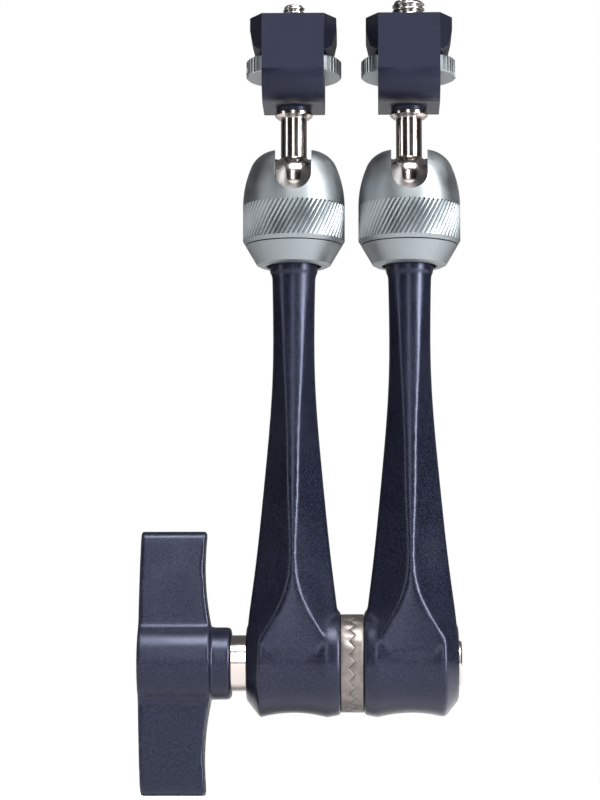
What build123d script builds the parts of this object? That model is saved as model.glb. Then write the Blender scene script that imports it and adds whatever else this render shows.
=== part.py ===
"""Articulating friction arm: two cast arms on one elbow bolt, a locking ball at each end and a camera screw on each head.

The frame is the left head's top face: its camera screw stands on the origin, +Z is up and +X runs along the elbow bolt
from the left arm to the right one. The front, which the ball slots face, is towards -Y. Lengths are in millimetres.
"""

from build123d import *
import math
import os

os.makedirs("parts", exist_ok=True)

# Clearances
running = 0.05
seat = 0.02
apart = 0.3

# Elbow: the two hubs, the toothed rings between them and the bolt
hub_width = 27.2
hub_rim_radius = 15.5
hub_waist_radius = 14.2
hub_inner_radius = 14.8
hub_outer_radius = 10.4
hub_rim_inset = 4.0
hub_shoulder = 0.5
ring_pair_width = 6.6
ring_radius = 14.1
ring_bore_radius = 9.0
tooth_count = 22
tooth_height = 1.7
bolt_radius = 4.0
bolt_head_radius = 6.5
bolt_head_height = 5.0
bolt_head_proud = 0.9
hex_socket_size = 6.0
hex_socket_depth = 3.0
washer_radius = 6.6
washer_thickness = 1.2
wedge_large_radius = 7.6
wedge_small_radius = 5.2
wedge_end_gap = 1.3
spring_wire_radius = 0.7
spring_turns = 4

# Arms: sections from the hub up, as height, half width, front depth, ridge half width, ridge depth and side half depth.
# The heights stretch with the spigot's height, and the half widths with the hub's.
arm_sections = [
    (2.0, 13.1, 14.9, 9.8, 14.6, 9.6),
    (12.0, 12.9, 14.2, 6.0, 14.0, 6.8),
    (24.0, 11.5, 13.2, 1.1, 13.1, 3.2),
    (42.0, 9.5, 11.4, 1.0, 11.3, 2.4),
    (62.0, 7.6, 9.5, 1.6, 9.3, 2.2),
    (78.0, 6.4, 8.2, 2.4, 7.7, 2.2),
    (92.0, 6.0, 7.3, 3.2, 6.4, 2.3),
    (104.0, 6.1, 6.8, 4.1, 5.2, 2.4),
    (113.5, 6.3, 6.5, 4.8, 4.3, 2.5),
]
neck_radius = 7.0
neck_length = 3.9
spigot_height = 117.4
spigot_radius = 8.0
spigot_below_ball = 8.9
rod_radius = 2.5
pad_radius = 6.0
pad_thickness = 5.0

# Ball joint on each arm: the ball stands above the spigot's foot, and the dome's heights count from the ball
ball_rise = 23.9
ball_radius = 7.5
stem_radius = 3.8
stem_length = 18.3
flange_radius = 5.5
flange_thickness = 1.6
tail_radius = 3.0
tail_length = 6.0
collar_radius = 14.9
collar_foot_rise = 4.5
collar_chamfer = 1.2
collar_mouth_radius = 6.5
collar_lip_radius = 8.6
collar_lip_rise = 7.7
dome_flank_radius = 14.35
dome_flank_drop = 2.3
dome_shoulder_radius = 12.7
dome_shoulder_rise = 3.2
dome_round_radius = 10.9
dome_round_rise = 6.1
slot_half_width = 5.3
knurl_height = 10.3
knurl_count = 64
knurl_slant = 30.0
knurl_depth = 0.7
knurl_width = 1.15
lock_ring_drop = 1.8
lock_ring_small_radius = 10.8
lock_ring_rim = 1.0
cup_opening_angle = 15.0
pad_lip = 2.5

# Heads
head_half_width = 12.6
head_half_depth = 16.2
head_front_half_width = 9.0
head_side_half_depth = 9.6
head_height = 25.0
head_bottom_curve = 8.8
head_top_thickness = 10.4
head_floor_thickness = 8.8
head_boss_radius = 5.2
head_boss_height = 1.4
scoop_drop = 3.6
scoop_depth = 1.3
head_lip_chamfer = 1.6
wheel_radius = 14.0
wheel_thickness = 5.0
wheel_hub_radius = 6.5
wheel_flute_count = 60
wheel_flute_depth = 0.4
wheel_flute_width = 0.75
wheel_hole_radius = 1.7
wheel_hole_depth = 4.0
wheel_hole_count = 4
wheel_hole_turn = 10.0
quarter_inch_radius = 3.175
three_eighths_radius = 4.7625
left_screw_length = 6.0
right_screw_length = 7.0
screw_tip = 0.8
screw_shank_radius = 2.6

# Clamping knob
sleeve_radius = 8.1
sleeve_length = 4.2
knob_boss_radius = 10.4
knob_boss_length = 6.6
knob_wing_width = 20.2
knob_half_span = 37.9
knob_middle_radius = 12.2
knob_wing_root = 6.6
knob_wing_tip = 5.4
knob_wing_blend = 9.0
knob_hollow = 1.2
knob_hollow_place = 0.65
knob_crown = 0.8
knob_edge_round = 1.4
knob_tip_round = 3.2
knob_nut_radius = 6.0
knob_nut_length = 16.0

# Places worked out from the sizes above
arm_spacing = hub_width + ring_pair_width
half_hub = hub_width / 2
hub_rim_place = half_hub - hub_rim_inset
wedge_length = (half_hub + bolt_head_proud - bolt_head_height - washer_thickness - wedge_end_gap) * 2
arm_stretch = (spigot_height - neck_length) / arm_sections[-1][0]
arm_widening = (half_hub - hub_shoulder) / arm_sections[0][1]
ball_height = spigot_height + ball_rise
spigot_length = ball_rise - spigot_below_ball
rise = ball_height + stem_length + flange_thickness + head_boss_height + head_height
hub_z = -rise
hub_axis = Axis((0, 0, hub_z), (1, 0, 0))
ball_z = hub_z + ball_height
flange_z = ball_z + stem_length
boss_z = flange_z + flange_thickness
floor_z = boss_z + head_boss_height
window_low = floor_z + head_floor_thickness
window_high = -head_top_thickness
wheel_low = window_low + apart
wheel_high = wheel_low + wheel_thickness
wheel_gap = wheel_radius + apart
ring_low_x = half_hub
ring_mid_x = half_hub + ring_pair_width / 2
lock_ring_bottom = spigot_height - lock_ring_drop
lock_ring_edge = lock_ring_bottom + lock_ring_rim / 2
collar_bottom = spigot_height + collar_foot_rise
collar_corner = collar_bottom + collar_chamfer
knurl_top = collar_corner + knurl_height
cone_slope = (collar_radius - lock_ring_small_radius) / (collar_corner - lock_ring_edge)
collar_bottom_radius = collar_radius - cone_slope * (collar_corner - collar_bottom)
lock_ring_top_radius = collar_bottom_radius - cone_slope * apart
chamber_radius = wedge_large_radius + running
bolt_bore_radius = bolt_radius + running
rod_bore_radius = rod_radius + running
wedge_slope = (wedge_large_radius - wedge_small_radius) / wedge_length
chamber_depth = half_hub + wedge_length / 2
wedge_mid_radius = (wedge_large_radius + wedge_small_radius) / 2
rod_tip_height = wedge_mid_radius + (rod_radius + seat) * math.sqrt(1 + wedge_slope**2)
pad_low = ball_z - ball_radius - pad_thickness
spigot_top = hub_z + spigot_height + spigot_length
head_seat_x = arm_spacing + half_hub + bolt_head_proud - bolt_head_height
knob_boss_x = -half_hub - sleeve_length - seat
knob_wing_x = knob_boss_x - knob_boss_length
knob_end_x = knob_wing_x - knob_wing_width


def finish(piece, label):
    """Labels a finished piece and writes its file."""
    piece.label = label
    export_step(piece, f"parts/{label}.step")


def across(x):
    """The plane square to the elbow bolt at x, with its middle on the bolt and facing +X."""
    return Plane(origin=(x, 0, hub_z), x_dir=(0, 1, 0), z_dir=(1, 0, 0))


def level(x, z):
    """The level plane on an arm's axis at height z."""
    return Plane(origin=(x, 0, z), x_dir=(1, 0, 0), z_dir=(0, 0, 1))


# Arm: a barrel hub with a waist, a ridged and tapering shank, and a round threaded spigot under the ball
def arm(x, outward):
    inner = x - outward * half_hub
    outer = x + outward * half_hub
    with BuildPart() as casting:
        for height, width, depth, ridge, ridge_depth, side_depth in arm_sections:
            with BuildSketch(level(x, hub_z + height * arm_stretch)):
                width, ridge = width * arm_widening, ridge * arm_widening
                with BuildLine():
                    ThreePointArc((-ridge, -ridge_depth), (0, -depth), (ridge, -ridge_depth))
                    Line((ridge, -ridge_depth), (width, -side_depth))
                    Line((width, -side_depth), (width, side_depth))
                    Line((width, side_depth), (ridge, ridge_depth))
                    ThreePointArc((ridge, ridge_depth), (0, depth), (-ridge, ridge_depth))
                    Line((-ridge, ridge_depth), (-width, side_depth))
                    Line((-width, side_depth), (-width, -side_depth))
                    Line((-width, -side_depth), (-ridge, -ridge_depth))
                make_face()
        loft()
        with BuildSketch(Plane.XZ):
            with BuildLine():
                Polyline(
                    (x - outward * hub_rim_place, hub_z + hub_rim_radius),
                    (inner, hub_z + hub_inner_radius),
                    (inner, hub_z),
                    (outer, hub_z),
                    (outer, hub_z + hub_outer_radius),
                    (x + outward * hub_rim_place, hub_z + hub_rim_radius),
                )
                ThreePointArc(
                    (x + outward * hub_rim_place, hub_z + hub_rim_radius),
                    (x, hub_z + hub_waist_radius),
                    (x - outward * hub_rim_place, hub_z + hub_rim_radius),
                )
            make_face()
        revolve(axis=hub_axis)
        with BuildSketch(level(x, hub_z + spigot_height - neck_length)):
            Circle(neck_radius)
        extrude(amount=neck_length)
        with BuildSketch(level(x, hub_z + spigot_height)):
            Circle(spigot_radius)
        extrude(amount=spigot_length)
        with BuildSketch(level(x, hub_z)):
            Circle(rod_bore_radius)
        extrude(until=Until.LAST, mode=Mode.SUBTRACT)
        with BuildSketch(level(x, pad_low)):
            Circle(pad_radius + running)
        extrude(amount=spigot_top - pad_low, mode=Mode.SUBTRACT)
        with BuildSketch(across(outer)):
            Circle(bolt_bore_radius)
        extrude(amount=-outward * hub_width, mode=Mode.SUBTRACT)
        with BuildSketch(across(inner)):
            Circle(chamber_radius)
        extrude(amount=outward * chamber_depth, mode=Mode.SUBTRACT)
        if outward > 0:
            with BuildSketch(across(outer)):
                Circle(washer_radius + running)
            extrude(amount=-(outer - head_seat_x + washer_thickness), mode=Mode.SUBTRACT)
    return casting.part


left_arm = arm(0, -1)
finish(left_arm, "left_arm")
right_arm = arm(arm_spacing, 1)
finish(right_arm, "right_arm")


# Wedge: the cone on the elbow bolt that drives an arm's rod towards its ball
def wedge(x, outward):
    large = x - outward * wedge_length / 2
    small = x + outward * wedge_length / 2
    with BuildPart() as cone:
        with BuildSketch(Plane.XZ):
            with BuildLine():
                Polyline(
                    (large, hub_z + bolt_bore_radius),
                    (large, hub_z + wedge_large_radius),
                    (small, hub_z + wedge_small_radius),
                    (small, hub_z + bolt_bore_radius),
                    close=True,
                )
            make_face()
        revolve(axis=hub_axis)
    return cone.part


finish(wedge(0, -1), "left_wedge")
finish(wedge(arm_spacing, 1), "right_wedge")


# Push rod: round at the wedge and flat at the pad
def push_rod(x):
    tip = hub_z + rod_tip_height
    with BuildPart() as rod:
        with BuildSketch(level(x, tip)):
            Circle(rod_radius)
        extrude(amount=pad_low - seat - tip)
        with BuildSketch(Plane(origin=(x, 0, tip), x_dir=(1, 0, 0), z_dir=(0, -1, 0))):
            with BuildLine():
                RadiusArc((rod_radius, 0), (0, -rod_radius), rod_radius)
                Polyline((0, -rod_radius), (0, 0), (rod_radius, 0))
            make_face()
        revolve(axis=Axis((x, 0, tip), (0, 0, 1)))
    return rod.part


finish(push_rod(0), "left_push_rod")
finish(push_rod(arm_spacing), "right_push_rod")


# Ball pad: the moulded cup that the rod presses against the ball
def ball_pad(x):
    with BuildPart() as pad:
        with BuildSketch(level(x, pad_low)):
            Circle(pad_radius)
        extrude(amount=pad_thickness + pad_lip)
        with Locations((x, 0, ball_z)):
            Sphere(ball_radius + running, mode=Mode.SUBTRACT)
    return pad.part


finish(ball_pad(0), "left_ball_pad")
finish(ball_pad(arm_spacing), "right_ball_pad")


# Lock ring: the coned nut that jams under the collar
def lock_ring(x):
    with BuildPart() as ring:
        with BuildSketch(Plane.XZ):
            with BuildLine():
                Polyline(
                    (x + spigot_radius + running, hub_z + lock_ring_bottom),
                    (x + lock_ring_small_radius - lock_ring_rim, hub_z + lock_ring_bottom),
                    (x + lock_ring_small_radius, hub_z + lock_ring_edge),
                    (x + lock_ring_top_radius, hub_z + collar_bottom - apart),
                    (x + spigot_radius + running, hub_z + collar_bottom - apart),
                    close=True,
                )
            make_face()
        revolve(axis=Axis((x, 0, 0), (0, 0, 1)))
    return ring.part


finish(lock_ring(0), "left_lock_ring")
finish(lock_ring(arm_spacing), "right_lock_ring")


# Ball collar: a domed nut with a slanted knurl, and a slot that lets the stem lie over square to the arm
def ball_collar(x):
    bore = spigot_radius + running
    cup = ball_radius + running
    mouth_z = ball_z + math.sqrt(cup**2 - collar_mouth_radius**2)
    arc_z = ball_z + cup * math.sin(math.radians(cup_opening_angle))
    arc_x = cup * math.cos(math.radians(cup_opening_angle))
    knurl_middle = hub_z + (collar_corner + knurl_top) / 2
    with BuildPart() as collar:
        with BuildSketch(Plane.XZ):
            with BuildLine():
                Polyline(
                    (x + collar_radius, hub_z + knurl_top),
                    (x + collar_radius, hub_z + collar_corner),
                    (x + collar_bottom_radius, hub_z + collar_bottom),
                    (x + bore, hub_z + collar_bottom),
                    (x + bore, spigot_top + apart),
                    (x + cup, spigot_top + apart),
                    (x + cup, ball_z),
                )
                ThreePointArc((x + cup, ball_z), (x + arc_x, arc_z), (x + collar_mouth_radius, mouth_z))
                Line((x + collar_mouth_radius, mouth_z), (x + collar_lip_radius, ball_z + collar_lip_rise))
                ThreePointArc(
                    (x + collar_lip_radius, ball_z + collar_lip_rise),
                    (x + dome_round_radius, ball_z + dome_round_rise),
                    (x + dome_shoulder_radius, ball_z + dome_shoulder_rise),
                )
                ThreePointArc(
                    (x + dome_shoulder_radius, ball_z + dome_shoulder_rise),
                    (x + dome_flank_radius, ball_z - dome_flank_drop),
                    (x + collar_radius, hub_z + knurl_top),
                )
            make_face()
        revolve(axis=Axis((x, 0, 0), (0, 0, 1)))
        with BuildSketch(Plane(origin=(x, 0, ball_z), x_dir=(1, 0, 0), z_dir=(0, -1, 0))):
            SlotCenterPoint((0, collar_radius), (0, 0), slot_half_width * 2)
        extrude(amount=collar_radius * 2, mode=Mode.SUBTRACT)
        cutter = Plane(origin=(x, -collar_radius, knurl_middle), x_dir=(1, 0, 0), z_dir=(0, 0, 1))
        slant = cutter.rotated((0, knurl_slant, 0))
        cutter_length = knurl_height / math.cos(math.radians(knurl_slant))
        groove_reach = knurl_width / 2 * (knurl_depth + running) / knurl_depth
        with BuildSketch(slant.offset(-cutter_length / 2)):
            with BuildLine():
                Polyline(
                    (-groove_reach, -running),
                    (groove_reach, -running),
                    (0, knurl_depth),
                    close=True,
                )
            make_face()
        groove = extrude(amount=cutter_length, mode=Mode.PRIVATE)
        axis = Axis((x, 0, 0), (0, 0, 1))
        grooves = [groove.rotate(axis, turn * 360 / knurl_count) for turn in range(knurl_count)]
        add(grooves, mode=Mode.SUBTRACT)
    return collar.part


finish(ball_collar(0), "left_ball_collar")
finish(ball_collar(arm_spacing), "right_ball_collar")


# Ball stud: ball, stem, flange and the tail that the head is fixed on, turned from one bar
def ball_stud(x):
    with BuildPart() as stud:
        with Locations((x, 0, ball_z)):
            Sphere(ball_radius)
        with BuildSketch(level(x, ball_z)):
            Circle(stem_radius)
        extrude(amount=stem_length)
        with BuildSketch(level(x, flange_z)):
            Circle(flange_radius)
        extrude(amount=flange_thickness)
        rims = stud.edges().filter_by_position(Axis.Z, flange_z - seat, flange_z + seat)
        chamfer(rims.sort_by(SortBy.RADIUS)[-1], flange_thickness / 2)
        with BuildSketch(level(x, boss_z)):
            Circle(tail_radius)
        extrude(amount=tail_length)
    return stud.part


finish(ball_stud(0), "left_ball_stud")
finish(ball_stud(arm_spacing), "right_ball_stud")


# Head frame: an eight-sided top, two narrow walls and a round-cornered floor, with a window for the thumb wheel
def head_frame(x, screw_radius):
    side = Plane(origin=(x, 0, 0), x_dir=(0, 1, 0), z_dir=(1, 0, 0))
    with BuildPart() as frame:
        with BuildSketch(side):
            with BuildLine():
                Polyline(
                    (head_half_depth, floor_z),
                    (head_half_depth, 0),
                    (-head_half_depth, 0),
                    (-head_half_depth, floor_z),
                    close=True,
                )
            make_face()
            low = vertices().group_by(Axis.Z)[0]
            fillet(low, head_bottom_curve)
        extrude(amount=head_front_half_width, both=True)
        with BuildSketch(level(x, 0)):
            with BuildLine():
                Polyline(
                    (head_front_half_width, -head_half_depth),
                    (head_half_width, -head_side_half_depth),
                    (head_half_width, head_side_half_depth),
                    (head_front_half_width, head_half_depth),
                    (-head_front_half_width, head_half_depth),
                    (-head_half_width, head_side_half_depth),
                    (-head_half_width, -head_side_half_depth),
                    (-head_front_half_width, -head_half_depth),
                    close=True,
                )
            make_face()
        extrude(amount=-head_top_thickness)
        for way in (-1, 1):
            with BuildSketch(Plane(origin=(x, 0, 0), x_dir=(1, 0, 0), z_dir=(0, -1, 0))):
                with BuildLine():
                    Polyline(
                        (way * head_half_width, -scoop_drop),
                        (way * (head_half_width - scoop_depth), window_high + head_lip_chamfer),
                        (way * (head_half_width - scoop_depth - head_lip_chamfer), window_high),
                        (way * (head_half_width + scoop_depth), window_high),
                        (way * (head_half_width + scoop_depth), -scoop_drop),
                        close=True,
                    )
                make_face()
            extrude(amount=head_half_depth, both=True, mode=Mode.SUBTRACT)
        with BuildSketch(side):
            with Locations((0, (window_low + window_high) / 2)):
                Rectangle(wheel_gap * 2, window_high - window_low)
        extrude(amount=head_half_width * 2, both=True, mode=Mode.SUBTRACT)
        with BuildSketch(level(x, boss_z)):
            Circle(head_boss_radius)
        extrude(amount=head_boss_height)
        with BuildSketch(level(x, boss_z)):
            Circle(tail_radius + running)
        extrude(amount=tail_length + running, mode=Mode.SUBTRACT)
        with BuildSketch(level(x, 0)):
            Circle(screw_radius + apart)
        extrude(amount=-head_top_thickness, mode=Mode.SUBTRACT)
    return frame.part


finish(head_frame(0, quarter_inch_radius), "left_head_frame")
finish(head_frame(arm_spacing, three_eighths_radius), "right_head_frame")


# Thumb wheel: a fluted disc with four bar holes, bored for the camera screw's shank
def thumb_wheel(x):
    axis = Axis((x, 0, 0), (0, 0, 1))
    with BuildPart() as wheel:
        with BuildSketch(level(x, wheel_low)):
            Circle(wheel_radius)
        extrude(amount=wheel_thickness)
        chamfer(wheel.edges().filter_by(GeomType.CIRCLE), wheel_flute_depth)
        with BuildSketch(level(x, wheel_high)):
            Circle(wheel_hub_radius)
        extrude(amount=window_high - apart - wheel_high)
        with BuildSketch(level(x, wheel_low)):
            Circle(screw_shank_radius + seat)
        extrude(amount=window_high - wheel_low, mode=Mode.SUBTRACT)
        with BuildSketch(Plane(origin=(x, -wheel_radius, wheel_low), x_dir=(1, 0, 0), z_dir=(0, 0, 1))):
            with BuildLine():
                Polyline(
                    (-wheel_flute_width / 2, -wheel_flute_depth / 2),
                    (wheel_flute_width / 2, -wheel_flute_depth / 2),
                    (0, wheel_flute_depth),
                    close=True,
                )
            make_face()
        flute = extrude(amount=wheel_thickness, mode=Mode.PRIVATE)
        step = 360 / wheel_flute_count
        add([flute.rotate(axis, (turn + 0.5) * step) for turn in range(wheel_flute_count)], mode=Mode.SUBTRACT)
        middle = Plane(origin=(x, 0, (wheel_low + wheel_high) / 2), x_dir=(1, 0, 0), z_dir=(0, -1, 0))
        with BuildSketch(middle.offset(wheel_radius - wheel_hole_depth)):
            Circle(wheel_hole_radius)
        hole = extrude(amount=wheel_hole_depth * 2, mode=Mode.PRIVATE)
        turns = [wheel_hole_turn + turn * 360 / wheel_hole_count for turn in range(wheel_hole_count)]
        add([hole.rotate(axis, turn) for turn in turns], mode=Mode.SUBTRACT)
    return wheel.part


finish(thumb_wheel(0), "left_thumb_wheel")
finish(thumb_wheel(arm_spacing), "right_thumb_wheel")


# Camera screw: a relieved shank held in the wheel, and a threaded end that starts at the head's top face
def camera_screw(x, radius, length):
    with BuildPart() as screw:
        with BuildSketch(level(x, wheel_low)):
            Circle(screw_shank_radius)
        extrude(amount=-wheel_low)
        with BuildSketch(level(x, 0)):
            Circle(radius)
        extrude(amount=length)
        chamfer(screw.edges().sort_by(Axis.Z)[-1], screw_tip)
    return screw.part


finish(camera_screw(0, quarter_inch_radius, left_screw_length), "left_camera_screw")
finish(camera_screw(arm_spacing, three_eighths_radius, right_screw_length), "right_camera_screw")


# Toothed rings: two spacers that mesh face to face between the hubs
with BuildPart() as left_tooth_ring:
    with BuildSketch(across(ring_low_x)):
        Circle(ring_radius)
        Circle(ring_bore_radius, mode=Mode.SUBTRACT)
    extrude(amount=ring_pair_width / 2 + tooth_height / 2)
    tooth_pitch = 2 * math.pi * ring_radius / tooth_count
    crest = Plane(origin=(ring_mid_x, 0, hub_z), x_dir=(0, 1, 0), z_dir=(0, 0, 1))
    with BuildSketch(crest):
        with BuildLine():
            Polyline(
                (-tooth_pitch / 2, -tooth_height / 2),
                (tooth_pitch / 2, -tooth_height / 2),
                (0, tooth_height / 2),
                close=True,
            )
        make_face()
    notch = extrude(amount=ring_radius * 2, mode=Mode.PRIVATE)
    add(
        [notch.rotate(hub_axis, turn * 360 / tooth_count) for turn in range(tooth_count)],
        mode=Mode.SUBTRACT,
    )
finish(left_tooth_ring.part, "left_tooth_ring")

with BuildPart() as right_tooth_ring:
    with BuildSketch(across(ring_low_x)):
        Circle(ring_radius)
        Circle(ring_bore_radius, mode=Mode.SUBTRACT)
    extrude(amount=ring_pair_width - seat)
    add(left_tooth_ring.part, mode=Mode.SUBTRACT)
finish(right_tooth_ring.part, "right_tooth_ring")


# Elbow bolt, its washer and the spring that parts the wedges when the knob is slackened
with BuildPart() as elbow_bolt:
    with BuildSketch(across(head_seat_x)):
        Circle(bolt_head_radius)
    extrude(amount=bolt_head_height)
    chamfer(elbow_bolt.edges().sort_by(Axis.X)[-1], bolt_head_proud / 2)
    with BuildSketch(across(head_seat_x + bolt_head_height)):
        RegularPolygon(hex_socket_size / 2, 6, major_radius=False)
    extrude(amount=-hex_socket_depth, mode=Mode.SUBTRACT)
    with BuildSketch(across(head_seat_x)):
        Circle(bolt_radius)
    extrude(amount=knob_boss_x - knob_nut_length + apart - head_seat_x)
finish(elbow_bolt.part, "elbow_bolt")

with BuildPart() as wedge_spring:
    spring_low_x = wedge_length / 2 + spring_wire_radius + apart
    spring_length = arm_spacing - spring_low_x * 2
    with BuildLine() as coil:
        Helix(
            pitch=spring_length / spring_turns,
            height=spring_length,
            radius=wedge_large_radius - spring_wire_radius * 2,
            center=(spring_low_x, 0, hub_z),
            direction=(1, 0, 0),
        )
    with BuildSketch(Plane(origin=coil.line @ 0, z_dir=coil.line % 0)):
        Circle(spring_wire_radius)
    sweep()
finish(wedge_spring.part, "wedge_spring")

with BuildPart() as bolt_washer:
    with BuildSketch(across(head_seat_x - washer_thickness)):
        Circle(washer_radius)
        Circle(bolt_bore_radius, mode=Mode.SUBTRACT)
    extrude(amount=washer_thickness)
finish(bolt_washer.part, "bolt_washer")

with BuildPart() as knob_sleeve:
    with BuildSketch(across(-half_hub - sleeve_length)):
        Circle(sleeve_radius)
        Circle(bolt_bore_radius, mode=Mode.SUBTRACT)
    extrude(amount=sleeve_length)
finish(knob_sleeve.part, "knob_sleeve")

# Clamping knob: a two-winged casting, thick in the middle, with a round boss and a pressed-in nut
with BuildPart() as knob:
    with BuildSketch(Plane.XZ):
        with BuildLine():
            ThreePointArc(
                (knob_end_x + knob_crown, hub_z + knob_half_span),
                (knob_end_x, hub_z),
                (knob_end_x + knob_crown, hub_z - knob_half_span),
            )
            Line(
                (knob_end_x + knob_crown, hub_z - knob_half_span),
                (knob_wing_x - knob_hollow / 2, hub_z - knob_half_span),
            )
            ThreePointArc(
                (knob_wing_x - knob_hollow / 2, hub_z - knob_half_span),
                (knob_wing_x - knob_hollow, hub_z - knob_half_span * knob_hollow_place),
                (knob_wing_x + knob_hollow / 2, hub_z - knob_boss_radius),
            )
            Line(
                (knob_wing_x + knob_hollow / 2, hub_z - knob_boss_radius),
                (knob_wing_x + knob_hollow / 2, hub_z + knob_boss_radius),
            )
            ThreePointArc(
                (knob_wing_x + knob_hollow / 2, hub_z + knob_boss_radius),
                (knob_wing_x - knob_hollow, hub_z + knob_half_span * knob_hollow_place),
                (knob_wing_x - knob_hollow / 2, hub_z + knob_half_span),
            )
            Line(
                (knob_wing_x - knob_hollow / 2, hub_z + knob_half_span),
                (knob_end_x + knob_crown, hub_z + knob_half_span),
            )
        make_face()
    extrude(amount=knob_middle_radius + apart, both=True)
    with BuildSketch(across(knob_end_x - knob_crown)) as wing_outline:
        Circle(knob_middle_radius)
        with BuildLine():
            Polyline(
                (knob_wing_tip, knob_half_span),
                (knob_wing_root, 0),
                (knob_wing_tip, -knob_half_span),
                (-knob_wing_tip, -knob_half_span),
                (-knob_wing_root, 0),
                (-knob_wing_tip, knob_half_span),
                close=True,
            )
        make_face()
        inner_corners = wing_outline.vertices().filter_by(
            lambda corner: abs(corner.Z - hub_z) < knob_half_span / 2
        )
        fillet(inner_corners, knob_wing_blend)
        tip_corners = wing_outline.vertices().filter_by(
            lambda corner: abs(corner.Z - hub_z) > knob_half_span / 2
        )
        fillet(tip_corners, knob_tip_round)
    extrude(amount=knob_wing_width + knob_boss_length, mode=Mode.INTERSECT)
    with BuildSketch(across(knob_wing_x - knob_hollow)):
        Circle(knob_boss_radius)
    extrude(amount=knob_boss_length + knob_hollow)
    chamfer(knob.faces().sort_by(Axis.X)[-1].outer_wire().edges(), knob_edge_round / 2)
    with BuildSketch(across(knob_boss_x)):
        Circle(knob_nut_radius + seat)
    extrude(amount=-knob_nut_length, mode=Mode.SUBTRACT)
finish(knob.part, "knob")

with BuildPart() as knob_nut:
    with BuildSketch(across(knob_boss_x)):
        Circle(knob_nut_radius)
        Circle(bolt_bore_radius, mode=Mode.SUBTRACT)
    extrude(amount=-knob_nut_length)
finish(knob_nut.part, "knob_nut")
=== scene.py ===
"""Looks of a folding friction arm with a camera screw head on each end, set on a pale floor in soft studio light.

Every length is in metres, in the part's own frame: the left camera screw stands on the origin, +Z is up and -Y is
the front.
"""

import math

import bmesh
import bpy
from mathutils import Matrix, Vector


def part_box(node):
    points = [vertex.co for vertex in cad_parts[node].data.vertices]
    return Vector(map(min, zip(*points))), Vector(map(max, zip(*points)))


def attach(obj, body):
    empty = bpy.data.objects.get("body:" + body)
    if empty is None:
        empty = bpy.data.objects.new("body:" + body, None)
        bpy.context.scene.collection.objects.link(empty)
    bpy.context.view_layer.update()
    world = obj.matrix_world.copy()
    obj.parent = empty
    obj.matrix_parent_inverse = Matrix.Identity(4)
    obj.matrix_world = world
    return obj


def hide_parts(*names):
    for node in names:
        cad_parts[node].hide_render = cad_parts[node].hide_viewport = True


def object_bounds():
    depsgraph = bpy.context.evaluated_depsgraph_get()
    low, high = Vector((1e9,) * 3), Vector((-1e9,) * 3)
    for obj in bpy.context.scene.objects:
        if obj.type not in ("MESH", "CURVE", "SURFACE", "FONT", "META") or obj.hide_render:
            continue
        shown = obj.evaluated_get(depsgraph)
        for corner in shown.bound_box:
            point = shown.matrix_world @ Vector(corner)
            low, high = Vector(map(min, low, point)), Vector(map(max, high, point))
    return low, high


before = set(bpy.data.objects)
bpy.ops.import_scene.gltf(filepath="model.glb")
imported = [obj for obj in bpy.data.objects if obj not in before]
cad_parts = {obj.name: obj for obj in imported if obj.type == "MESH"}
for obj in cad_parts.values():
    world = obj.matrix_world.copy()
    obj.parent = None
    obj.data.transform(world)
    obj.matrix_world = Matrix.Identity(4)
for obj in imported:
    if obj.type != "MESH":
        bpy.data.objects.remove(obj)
CAD_BOX = [list(corner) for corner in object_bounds()]

bl_info = {
    "name": "Folding Friction Arm",
    "version": (1, 0, 0),
    "blender": (4, 5, 0),
    "location": "View3D > Sidebar > Friction Arm",
    "description": "Finishes, camera screw threads and a studio for a folding friction arm",
    "category": "Object",
}

SIDES = ("left", "right")
MM = 0.001

# Smoothing passes that round the castings' edges
ARM_PASSES = 18
KNOB_PASSES = 12

# How near two corners of a machined piece's skin lie when they are one, and a band texture's scale for one band a metre
ONE_SKIN = 0.002 * MM
BAND_SCALE = 0.314

# Camera screws: mesh steps, depth of the groove as a share of the pitch, and how steeply its flanks rise
STEPS_AROUND = 48
ROWS_PER_TURN = 8
GROOVE_SHARE = 0.54
FLANK_RISE = 2.6
TIP_LENGTH = 0.8 * MM
SHANK_RADIUS = 2.6 * MM

# Studio: lamps as name, place, width, height and watts
AIM_X = 0.01
LAMPS = (
    ("key", (0.72, -0.5, 0.12), 0.22, 0.9, 22.0),
    ("fill", (-0.8, -0.36, 0.05), 0.14, 0.9, 2.5),
    ("front", (-0.06, -0.95, 0.22), 0.16, 0.7, 2.8),
    ("top", (0.1, -0.45, 0.72), 0.6, 0.35, 16.0),
)

# Dark cards, as first and last angle from the front towards +X
FLAG_ANGLES = ((-80, -8), (8, 42), (66, 116), (-124, -90))
FLAG_DISTANCE = 1.25
FLAG_HALF_HEIGHT = 1.2
FLAG_STEPS = 12

FLOOR_HALF = 3.0
FLOOR_GAP = 0.5 * MM
FLOOR_GLOW = 0.85
REFLECTED_SKY = 0.17

CAMERA_PLACE = (0.022, -0.9, -0.2215)
CAMERA_TARGET = (0.0018, 0.0, -0.1112)
CAMERA_LENS = 140.3
CAMERA_SENSOR = 36.0


def linear(hex_colour):
    """Turns an sRGB hex colour into linear red, green, blue and alpha."""
    channels = [int(hex_colour[i : i + 2], 16) / 255 for i in (1, 3, 5)]
    return tuple([c / 12.92 if c <= 0.04045 else ((c + 0.055) / 1.055) ** 2.4 for c in channels] + [1.0])


def node_centre(name):
    """The middle of a CAD node's box at rest."""
    low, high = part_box(name)
    return (low + high) / 2


def colour_property(name, description, hex_colour):
    """A colour that a user can change, given in sRGB hex."""
    return bpy.props.FloatVectorProperty(
        name=name, description=description, subtype="COLOR", size=4, min=0.0, max=1.0, default=linear(hex_colour)
    )


def length_property(name, description, millimetres):
    """A length that a user can change, given in millimetres and kept in metres."""
    return bpy.props.FloatProperty(
        name=name, description=description, unit="LENGTH", min=0.0, precision=5, default=millimetres * MM
    )


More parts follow.
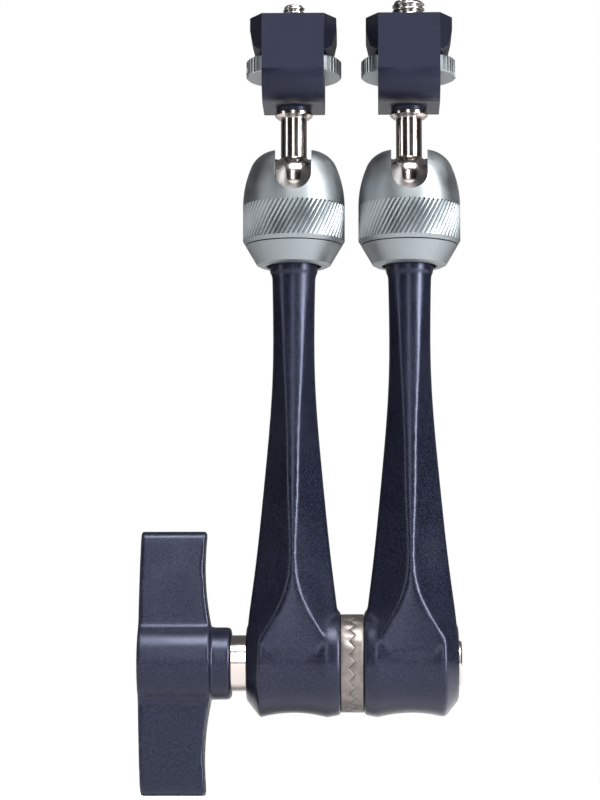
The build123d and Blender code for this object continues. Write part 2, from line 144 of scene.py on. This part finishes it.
class FrictionArmSizes(bpy.types.PropertyGroup):
    """Sizes that can be changed before the pieces are made."""

    casting_voxel: length_property("Casting voxel", "Grid on which a casting's edges are rounded", 0.5)
    knob_voxel: length_property("Knob voxel", "Grid on which the knob's edges are rounded", 0.45)
    edge_break: length_property("Edge break", "Width of the broken edges of machined pieces", 0.28)
    tooth_break: length_property("Tooth break", "Width of the broken edges of the toothed rings", 0.2)
    quarter_inch_pitch: length_property("Left thread pitch", "Pitch of the left camera screw", 1.27)
    three_eighths_pitch: length_property("Right thread pitch", "Pitch of the right camera screw", 1.5875)
    coat_grain: length_property("Coat grain", "Width of a grain of the powder coat", 0.5)
    blast_grain: length_property("Blasting grain", "Width of a pit of the bead blasting", 0.35)
    turning_pitch: length_property("Turning marks", "Distance from one turning mark to the next", 0.3)


class FrictionArmColours(bpy.types.PropertyGroup):
    """Colours that can be changed before the pieces are made."""

    coat_dark: colour_property("Coat shade", "Darkest grains of the powder coat", "#020204")
    coat_light: colour_property("Coat tint", "Lightest grains of the powder coat", "#171a29")
    coat_sheen: colour_property("Coat sheen", "Tint of what the powder coat reflects", "#a4aac8")
    anodised_dark: colour_property("Head shade", "Darker cast of the dyed anodising", "#07080e")
    anodised_light: colour_property("Head tint", "Lighter cast of the dyed anodising", "#10121d")
    anodised_sheen: colour_property("Head sheen", "Tint of what the dyed anodising reflects", "#8b91af")
    collar: colour_property("Collar", "Clear anodised aluminium of the collars", "#7b8083")
    wheel: colour_property("Wheel", "Turned aluminium of the thumb wheels", "#8c9194")
    polished: colour_property("Polished steel", "Ball studs and knob sleeve", "#b5aca7")
    steel: colour_property("Turned steel", "Screws, bolt and rods", "#b5b0ac")
    sintered: colour_property("Sintered steel", "Toothed rings", "#706a67")
    nylon: colour_property("Nylon", "Ball pads", "#d8d6cc")
    floor: colour_property("Floor", "Pale floor of the studio", "#f4f4f4")


def add_node(tree, kind, settings=None, links=None):
    """Adds a shader node, sets its values and links its inputs to other nodes' outputs."""
    node = tree.nodes.new(kind)
    for key, value in (settings or {}).items():
        if isinstance(key, int) or key in node.inputs:
            node.inputs[key].default_value = value
        else:
            setattr(node, key, value)
    for key, source in (links or {}).items():
        tree.links.new(source, node.inputs[key])
    return node


def new_material(name):
    """An empty node material with its node tree and its surface coordinates."""
    material = bpy.data.materials.new(name)
    material.use_nodes = True
    tree = material.node_tree
    tree.nodes.clear()
    place = add_node(tree, "ShaderNodeTexCoord").outputs["Object"]
    return material, tree, place


def close_material(tree, shader):
    """Links the finished surface to the material's output."""
    add_node(tree, "ShaderNodeOutputMaterial", links={"Surface": shader.outputs["BSDF"]})


def powder_coat(sizes, colours):
    """Powder-coated cast aluminium: dark blue-black with a fine light grain and soft highlights on the ridges."""
    material, tree, place = new_material("powder_coated_cast_aluminium")
    grain = add_node(
        tree, "ShaderNodeTexNoise",
        {"Scale": 1 / sizes.coat_grain, "Detail": 2.0, "Roughness": 0.6}, {"Vector": place},
    )
    cloud = add_node(tree, "ShaderNodeTexNoise", {"Scale": 70.0, "Detail": 2.0}, {"Vector": place})
    tone = add_node(
        tree, "ShaderNodeMapRange", {"From Min": 0.38, "From Max": 0.7}, {"Value": grain.outputs["Fac"]}
    )
    colour = add_node(
        tree, "ShaderNodeMix", {"data_type": "RGBA", 6: colours.coat_dark, 7: colours.coat_light},
        {0: tone.outputs["Result"]},
    )
    gloss = add_node(
        tree, "ShaderNodeMapRange", {"From Min": 0.3, "From Max": 0.7, "To Min": 0.28, "To Max": 0.37},
        {"Value": cloud.outputs["Fac"]},
    )
    bump = add_node(
        tree, "ShaderNodeBump", {"Strength": 0.22, "Distance": 0.06 * MM}, {"Height": grain.outputs["Fac"]}
    )
    shader = add_node(
        tree, "ShaderNodeBsdfPrincipled",
        {"Specular IOR Level": 0.65, "Specular Tint": colours.coat_sheen},
        {
            "Base Color": colour.outputs[2],
            "Roughness": gloss.outputs["Result"],
            "Normal": bump.outputs["Normal"],
        },
    )
    close_material(tree, shader)
    return material


def blasted_anodising(sizes, colours):
    """Blasted, dyed anodised aluminium: an even blue-black satin that brightens gently where it faces a light."""
    material, tree, place = new_material("blasted_dyed_anodised_aluminium")
    pits = add_node(
        tree, "ShaderNodeTexNoise", {"Scale": 1 / sizes.blast_grain, "Detail": 1.0}, {"Vector": place}
    )
    cast = add_node(tree, "ShaderNodeTexNoise", {"Scale": 110.0, "Detail": 3.0}, {"Vector": place})
    colour = add_node(
        tree, "ShaderNodeMix", {"data_type": "RGBA", 6: colours.anodised_dark, 7: colours.anodised_light},
        {0: cast.outputs["Fac"]},
    )
    gloss = add_node(
        tree, "ShaderNodeMapRange", {"From Min": 0.3, "From Max": 0.7, "To Min": 0.33, "To Max": 0.41},
        {"Value": pits.outputs["Fac"]},
    )
    bump = add_node(
        tree, "ShaderNodeBump", {"Strength": 0.12, "Distance": 0.03 * MM}, {"Height": pits.outputs["Fac"]}
    )
    shader = add_node(
        tree, "ShaderNodeBsdfPrincipled", {"Specular IOR Level": 0.6, "Specular Tint": colours.anodised_sheen},
        {
            "Base Color": colour.outputs[2],
            "Roughness": gloss.outputs["Result"],
            "Normal": bump.outputs["Normal"],
        },
    )
    close_material(tree, shader)
    return material


def turned_metal(name, base, sizes, axis, roughness, mark_strength, tint=0.08):
    """A lathe-turned metal: fine rings round the turning axis, which draw the highlights out along it."""
    material, tree, place = new_material(name)
    rings = add_node(
        tree, "ShaderNodeTexWave",
        {
            "wave_type": "BANDS", "bands_direction": axis, "Scale": BAND_SCALE / sizes.turning_pitch,
            "Distortion": 1.5, "Detail": 2.0, "Detail Scale": 3.0,
        },
        {"Vector": place},
    )
    smudge = add_node(tree, "ShaderNodeTexNoise", {"Scale": 160.0, "Detail": 3.0}, {"Vector": place})
    shade = add_node(
        tree, "ShaderNodeMapRange", {"From Min": 0.3, "From Max": 0.7, "To Min": 1.0 - tint, "To Max": 1.0},
        {"Value": smudge.outputs["Fac"]},
    )
    colour = add_node(
        tree, "ShaderNodeMix", {"data_type": "RGBA", "blend_type": "MULTIPLY", 0: 1.0, 6: base},
        {7: shade.outputs["Result"]},
    )
    gloss = add_node(
        tree, "ShaderNodeMapRange",
        {"From Min": 0.3, "From Max": 0.7, "To Min": roughness * 0.85, "To Max": roughness * 1.2},
        {"Value": smudge.outputs["Fac"]},
    )
    bump = add_node(
        tree, "ShaderNodeBump", {"Strength": mark_strength, "Distance": 0.02 * MM}, {"Height": rings.outputs["Fac"]}
    )
    shader = add_node(
        tree, "ShaderNodeBsdfPrincipled", {"Metallic": 1.0},
        {
            "Base Color": colour.outputs[2],
            "Roughness": gloss.outputs["Result"],
            "Normal": bump.outputs["Normal"],
        },
    )
    close_material(tree, shader)
    return material


def sintered_steel(colours):
    """Pressed and sintered steel: a dull warm grey, mottled and slightly pitted."""
    material, tree, place = new_material("sintered_steel")
    mottle = add_node(
        tree, "ShaderNodeTexNoise", {"Scale": 420.0, "Detail": 4.0, "Roughness": 0.65}, {"Vector": place}
    )
    shade = add_node(
        tree, "ShaderNodeMapRange", {"From Min": 0.3, "From Max": 0.7, "To Min": 0.62, "To Max": 1.1},
        {"Value": mottle.outputs["Fac"]},
    )
    colour = add_node(
        tree, "ShaderNodeMix", {"data_type": "RGBA", "blend_type": "MULTIPLY", 0: 1.0, 6: colours.sintered},
        {7: shade.outputs["Result"]},
    )
    bump = add_node(
        tree, "ShaderNodeBump", {"Strength": 0.3, "Distance": 0.05 * MM}, {"Height": mottle.outputs["Fac"]}
    )
    shader = add_node(
        tree, "ShaderNodeBsdfPrincipled", {"Metallic": 0.9, "Roughness": 0.42},
        {"Base Color": colour.outputs[2], "Normal": bump.outputs["Normal"]},
    )
    close_material(tree, shader)
    return material


def moulded_nylon(colours):
    """Moulded nylon: cream, faintly waxy and a little uneven."""
    material, tree, place = new_material("moulded_nylon")
    cast = add_node(tree, "ShaderNodeTexNoise", {"Scale": 300.0, "Detail": 2.0}, {"Vector": place})
    shade = add_node(
        tree, "ShaderNodeMapRange", {"To Min": 0.9, "To Max": 1.0}, {"Value": cast.outputs["Fac"]}
    )
    colour = add_node(
        tree, "ShaderNodeMix", {"data_type": "RGBA", "blend_type": "MULTIPLY", 0: 1.0, 6: colours.nylon},
        {7: shade.outputs["Result"]},
    )
    bump = add_node(
        tree, "ShaderNodeBump", {"Strength": 0.1, "Distance": 0.03 * MM}, {"Height": cast.outputs["Fac"]}
    )
    shader = add_node(
        tree, "ShaderNodeBsdfPrincipled", {"Roughness": 0.45, "IOR": 1.53},
        {"Base Color": colour.outputs[2], "Normal": bump.outputs["Normal"]},
    )
    close_material(tree, shader)
    return material


def dress(name, material):
    """Gives a CAD node its material."""
    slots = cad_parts[name].material_slots
    for slot in slots:
        slot.link = "OBJECT"
        slot.material = material


def round_edges(name, voxel, passes):
    """Rounds a casting's edges as its mould and coat do: a fine even grid, then smoothing."""
    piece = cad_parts[name]
    grid = piece.modifiers.new("even grid", "REMESH")
    grid.mode = "VOXEL"
    grid.voxel_size = voxel
    grid.use_smooth_shade = True
    smooth = piece.modifiers.new("soft edges", "SMOOTH")
    smooth.factor = 0.5
    smooth.iterations = passes


def break_edges(name, width, angle=32.0):
    """Breaks the sharp edges of a machined node."""
    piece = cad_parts[name]
    weld = piece.modifiers.new("one skin", "WELD")
    weld.merge_threshold = ONE_SKIN
    bevel = piece.modifiers.new("broken edges", "BEVEL")
    bevel.width = width
    bevel.segments = 2
    bevel.limit_method = "ANGLE"
    bevel.angle_limit = math.radians(angle)
    bevel.harden_normals = True


def threaded_screw(name, axis_x, radius, pitch, low, high):
    """A camera screw as one skin: a plain shank, a cut thread from the head's face up, and a flat chamfered tip."""
    depth = GROOVE_SHARE * pitch
    rows = int(high / pitch * ROWS_PER_TURN)
    mesh = bmesh.new()

    def ring(height, radii):
        corners = []
        for step in range(STEPS_AROUND):
            turn = step / STEPS_AROUND
            r = radii(turn)
            angle = turn * math.tau
            corners.append(mesh.verts.new((axis_x + r * math.cos(angle), r * math.sin(angle), height)))
        return corners

    def thread_radius(height, turn):
        phase = (height / pitch - turn) % 1.0
        crest = min(1.0, abs(phase - 0.5) * FLANK_RISE)
        cut = depth * (1.0 - crest)
        lead_in = max(0.0, height - (high - TIP_LENGTH))
        return radius - max(cut, lead_in)

    rings = [ring(low, lambda turn: SHANK_RADIUS), ring(0.0, lambda turn: SHANK_RADIUS)]
    for row in range(rows + 1):
        height = high * row / rows
        rings.append(ring(height, lambda turn, h=height: thread_radius(h, turn)))
    for lower, upper in zip(rings, rings[1:]):
        for step in range(STEPS_AROUND):
            after = (step + 1) % STEPS_AROUND
            mesh.faces.new((lower[step], lower[after], upper[after], upper[step]))
    mesh.faces.new(list(reversed(rings[0])))
    mesh.faces.new(rings[-1])
    data = bpy.data.meshes.new(name)
    mesh.to_mesh(data)
    mesh.free()
    for polygon in data.polygons:
        polygon.use_smooth = len(polygon.vertices) == 4
    piece = bpy.data.objects.new(name, data)
    bpy.context.scene.collection.objects.link(piece)
    return piece


class FRICTIONARM_OT_arms(bpy.types.Operator):
    """Rounds the edges of the two cast arms and coats them"""

    bl_idname = "friction_arm.arms"
    bl_label = "Arms"

    def execute(self, context):
        sizes, colours = context.scene.friction_arm_sizes, context.scene.friction_arm_colours
        coat = powder_coat(sizes, colours)
        for side in SIDES:
            dress(f"{side}_arm", coat)
            round_edges(f"{side}_arm", sizes.casting_voxel, ARM_PASSES)
        return {"FINISHED"}


class FRICTIONARM_OT_knob(bpy.types.Operator):
    """Rounds the edges of the clamping knob and coats it as the arms are"""

    bl_idname = "friction_arm.knob"
    bl_label = "Knob"

    def execute(self, context):
        sizes = context.scene.friction_arm_sizes
        dress("knob", bpy.data.materials["powder_coated_cast_aluminium"])
        round_edges("knob", sizes.knob_voxel, KNOB_PASSES)
        return {"FINISHED"}


class FRICTIONARM_OT_heads(bpy.types.Operator):
    """Breaks the edges of the two head frames and dyes them"""

    bl_idname = "friction_arm.heads"
    bl_label = "Heads"

    def execute(self, context):
        sizes, colours = context.scene.friction_arm_sizes, context.scene.friction_arm_colours
        anodised = blasted_anodising(sizes, colours)
        for side in SIDES:
            dress(f"{side}_head_frame", anodised)
            break_edges(f"{side}_head_frame", sizes.edge_break)
        return {"FINISHED"}


class FRICTIONARM_OT_wheels(bpy.types.Operator):
    """Finishes the two thumb wheels"""

    bl_idname = "friction_arm.wheels"
    bl_label = "Thumb wheels"

    def execute(self, context):
        sizes, colours = context.scene.friction_arm_sizes, context.scene.friction_arm_colours
        # Turned aluminium: satin grey faces with fine rings, and bright flutes round the rim
        wheel = turned_metal("turned_satin_aluminium", colours.wheel, sizes, "Z", 0.36, 0.1)
        for side in SIDES:
            dress(f"{side}_thumb_wheel", wheel)
        return {"FINISHED"}


class FRICTIONARM_OT_camera_screws(bpy.types.Operator):
    """Cuts the thread of each camera screw"""

    bl_idname = "friction_arm.camera_screws"
    bl_label = "Camera screws"

    def execute(self, context):
        sizes, colours = context.scene.friction_arm_sizes, context.scene.friction_arm_colours
        # Turned steel: grey and fairly bright, with tool marks
        steel = turned_metal("turned_steel", colours.steel, sizes, "Z", 0.26, 0.08)
        pitches = {"left": sizes.quarter_inch_pitch, "right": sizes.three_eighths_pitch}
        for side in SIDES:
            name = f"{side}_camera_screw"
            low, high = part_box(name)
            centre = node_centre(name)
            screw = threaded_screw(
                f"{side}_threaded_screw", centre.x, (high.x - low.x) / 2, pitches[side], low.z, high.z
            )
            screw.data.materials.append(steel)
            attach(screw, f"{side}_wheel")
            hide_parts(name)
        return {"FINISHED"}


class FRICTIONARM_OT_collars(bpy.types.Operator):
    """Finishes the knurled collars and the lock rings under them"""

    bl_idname = "friction_arm.collars"
    bl_label = "Collars"

    def execute(self, context):
        sizes, colours = context.scene.friction_arm_sizes, context.scene.friction_arm_colours
        # Clear anodised, turned aluminium: a soft silver satin with a broad highlight on the dome
        satin = turned_metal("satin_clear_anodised_aluminium", colours.collar, sizes, "Z", 0.44, 0.07)
        for side in SIDES:
            dress(f"{side}_ball_collar", satin)
            dress(f"{side}_lock_ring", satin)
        return {"FINISHED"}


class FRICTIONARM_OT_ball_studs(bpy.types.Operator):
    """Polishes the ball studs"""

    bl_idname = "friction_arm.ball_studs"
    bl_label = "Ball studs"

    def execute(self, context):
        sizes, colours = context.scene.friction_arm_sizes, context.scene.friction_arm_colours
        # Polished steel: sharp dark and light bands down the stem
        polished = turned_metal("polished_steel", colours.polished, sizes, "Z", 0.17, 0.03, 0.05)
        for side in SIDES:
            dress(f"{side}_ball_stud", polished)
        return {"FINISHED"}


class FRICTIONARM_OT_elbow(bpy.types.Operator):
    """Finishes the toothed rings, the bolt and the small pieces on it"""

    bl_idname = "friction_arm.elbow"
    bl_label = "Elbow"

    def execute(self, context):
        sizes, colours = context.scene.friction_arm_sizes, context.scene.friction_arm_colours
        sintered = sintered_steel(colours)
        for side in SIDES:
            dress(f"{side}_tooth_ring", sintered)
            break_edges(f"{side}_tooth_ring", sizes.tooth_break)
        # Steel turned about the elbow's axis: its rings run across the bolt
        bright = turned_metal("turned_steel_across", colours.steel, sizes, "X", 0.24, 0.06)
        for name in ("elbow_bolt", "bolt_washer", "knob_nut", "left_wedge", "right_wedge", "wedge_spring"):
            dress(name, bright)
        sleeve = turned_metal("polished_steel_across", colours.polished, sizes, "X", 0.13, 0.03, 0.05)
        dress("knob_sleeve", sleeve)
        return {"FINISHED"}


class FRICTIONARM_OT_rods(bpy.types.Operator):
    """Finishes the push rods and the ball pads inside the arms"""

    bl_idname = "friction_arm.rods"
    bl_label = "Rods and pads"

    def execute(self, context):
        nylon = moulded_nylon(context.scene.friction_arm_colours)
        for side in SIDES:
            dress(f"{side}_push_rod", bpy.data.materials["turned_steel"])
            dress(f"{side}_ball_pad", nylon)
        return {"FINISHED"}


def softbox(name, place, target, width, height, watts):
    """A rectangular lamp that points at a place."""
    data = bpy.data.lights.new(name, "AREA")
    data.shape = "RECTANGLE"
    data.size = width
    data.size_y = height
    data.energy = watts
    lamp = bpy.data.objects.new(name, data)
    lamp.location = place
    lamp.rotation_euler = (Vector(target) - Vector(place)).to_track_quat("-Z", "Y").to_euler()
    bpy.context.scene.collection.objects.link(lamp)


def flag(name, centre, first, last, material):
    """A tall dark card, curved round the object, that only reflections see. Angles are from the front towards +X."""
    points = []
    for step in range(FLAG_STEPS + 1):
        angle = math.radians(first + (last - first) * step / FLAG_STEPS)
        x, y = centre.x + FLAG_DISTANCE * math.sin(angle), centre.y - FLAG_DISTANCE * math.cos(angle)
        points += [(x, y, centre.z - FLAG_HALF_HEIGHT), (x, y, centre.z + FLAG_HALF_HEIGHT)]
    faces = [(2 * i, 2 * i + 2, 2 * i + 3, 2 * i + 1) for i in range(FLAG_STEPS)]
    mesh = bpy.data.meshes.new(name)
    mesh.from_pydata(points, [], faces)
    mesh.materials.append(material)
    card = bpy.data.objects.new(name, mesh)
    bpy.context.scene.collection.objects.link(card)
    card.visible_camera = False
    card.visible_diffuse = False
    card.visible_shadow = False
    card.visible_transmission = False


def black_card():
    """Matt black card: it gives polished and coated metal the dark bands of a studio."""
    material, tree, place = new_material("matt_black_card")
    fibre = add_node(tree, "ShaderNodeTexNoise", {"Scale": 30.0}, {"Vector": place})
    colour = add_node(
        tree, "ShaderNodeMix", {"data_type": "RGBA", 6: linear("#0c0c0e"), 7: linear("#17171a")},
        {0: fibre.outputs["Fac"]},
    )
    shader = add_node(
        tree, "ShaderNodeBsdfPrincipled", {"Roughness": 0.95, "Specular IOR Level": 0.1},
        {"Base Color": colour.outputs[2]},
    )
    close_material(tree, shader)
    return material


def painted_board(colours):
    """Matt painted board: near white, and lifted for the camera alone so that it meets the white background."""
    material, tree, place = new_material("matt_painted_board")
    speck = add_node(tree, "ShaderNodeTexNoise", {"Scale": 40.0, "Detail": 2.0}, {"Vector": place})
    shade = add_node(tree, "ShaderNodeMapRange", {"To Min": 0.97, "To Max": 1.0}, {"Value": speck.outputs["Fac"]})
    colour = add_node(
        tree, "ShaderNodeMix", {"data_type": "RGBA", "blend_type": "MULTIPLY", 0: 1.0, 6: colours.floor},
        {7: shade.outputs["Result"]},
    )
    ray = add_node(tree, "ShaderNodeLightPath")
    glow = add_node(
        tree, "ShaderNodeMath", {"operation": "MULTIPLY", 1: FLOOR_GLOW}, {0: ray.outputs["Is Camera Ray"]}
    )
    shader = add_node(
        tree, "ShaderNodeBsdfPrincipled", {"Roughness": 0.9, "Emission Color": (1.0, 1.0, 1.0, 1.0)},
        {"Base Color": colour.outputs[2], "Emission Strength": glow.outputs["Value"]},
    )
    close_material(tree, shader)
    return material


def floor_board(height, material):
    """The board that the arm stands over."""
    half = FLOOR_HALF
    corners = [(-half, -half, height), (half, -half, height), (half, half, height), (-half, half, height)]
    mesh = bpy.data.meshes.new("floor")
    mesh.from_pydata(corners, [], [(0, 1, 2, 3)])
    mesh.materials.append(material)
    floor = bpy.data.objects.new("floor", mesh)
    bpy.context.scene.collection.objects.link(floor)


def studio_sky():
    """A sky that is white where the camera looks past the part, and dimmer in what lights it and in reflections."""
    world = bpy.data.worlds.new("studio")
    world.use_nodes = True
    tree = world.node_tree
    tree.nodes.clear()
    ray = add_node(tree, "ShaderNodeLightPath")
    seen = add_node(
        tree, "ShaderNodeMath", {"operation": "MAXIMUM"},
        {0: ray.outputs["Is Camera Ray"], 1: ray.outputs["Is Transmission Ray"]},
    )
    strength = add_node(
        tree, "ShaderNodeMapRange", {"To Min": REFLECTED_SKY, "To Max": 1.0}, {"Value": seen.outputs["Value"]}
    )
    sky = add_node(
        tree, "ShaderNodeBackground", {"Color": (1.0, 1.0, 1.0, 1.0)}, {"Strength": strength.outputs["Result"]}
    )
    add_node(tree, "ShaderNodeOutputWorld", links={"Surface": sky.outputs["Background"]})
    bpy.context.scene.world = world


def studio_camera():
    """A long lens a little below the elbow, that looks up at the middle of the arm."""
    data = bpy.data.cameras.new("camera")
    data.sensor_fit = "VERTICAL"
    data.sensor_height = CAMERA_SENSOR
    data.lens = CAMERA_LENS
    camera = bpy.data.objects.new("camera", data)
    camera.location = CAMERA_PLACE
    camera.rotation_euler = (Vector(CAMERA_TARGET) - camera.location).to_track_quat("-Z", "Y").to_euler()
    bpy.context.scene.collection.objects.link(camera)
    bpy.context.scene.camera = camera


class FRICTIONARM_OT_stage(bpy.types.Operator):
    """Makes the pale floor, the soft light and the camera"""

    bl_idname = "friction_arm.stage"
    bl_label = "Studio"

    def execute(self, context):
        low, high = Vector(CAD_BOX[0]), Vector(CAD_BOX[1])
        floor_board(low.z - FLOOR_GAP, painted_board(context.scene.friction_arm_colours))
        studio_sky()
        aim = Vector((AIM_X, 0.0, (low.z + high.z) / 2))
        for name, place, width, height, watts in LAMPS:
            softbox(name, place, aim, width, height, watts)
        card = black_card()
        for number, (first, last) in enumerate(FLAG_ANGLES):
            flag(f"flag_{number}", aim, first, last, card)
        studio_camera()
        context.scene.view_settings.view_transform = "Standard"
        return {"FINISHED"}


class FRICTIONARM_PT_panel(bpy.types.Panel):
    """Lists the arm's sizes, colours and making steps"""

    bl_idname = "FRICTIONARM_PT_panel"
    bl_label = "Friction Arm"
    bl_space_type = "VIEW_3D"
    bl_region_type = "UI"
    bl_category = "Friction Arm"

    def draw(self, context):
        layout = self.layout
        for group in (context.scene.friction_arm_sizes, context.scene.friction_arm_colours):
            box = layout.box()
            for name in group.__annotations__:
                box.prop(group, name)
        for step in STEPS:
            layout.operator(step.bl_idname)


STEPS = (
    FRICTIONARM_OT_arms,
    FRICTIONARM_OT_knob,
    FRICTIONARM_OT_heads,
    FRICTIONARM_OT_wheels,
    FRICTIONARM_OT_camera_screws,
    FRICTIONARM_OT_collars,
    FRICTIONARM_OT_ball_studs,
    FRICTIONARM_OT_elbow,
    FRICTIONARM_OT_rods,
    FRICTIONARM_OT_stage,
)
CLASSES = (FrictionArmSizes, FrictionArmColours) + STEPS + (FRICTIONARM_PT_panel,)


def register():
    for item in CLASSES:
        bpy.utils.register_class(item)
    bpy.types.Scene.friction_arm_sizes = bpy.props.PointerProperty(type=FrictionArmSizes)
    bpy.types.Scene.friction_arm_colours = bpy.props.PointerProperty(type=FrictionArmColours)


def unregister():
    del bpy.types.Scene.friction_arm_colours
    del bpy.types.Scene.friction_arm_sizes
    for item in reversed(CLASSES):
        bpy.utils.unregister_class(item)


def main():
    register()
    for step in STEPS:
        group, name = step.bl_idname.split(".")
        getattr(getattr(bpy.ops, group), name)()


if __name__ == "__main__":
    main()
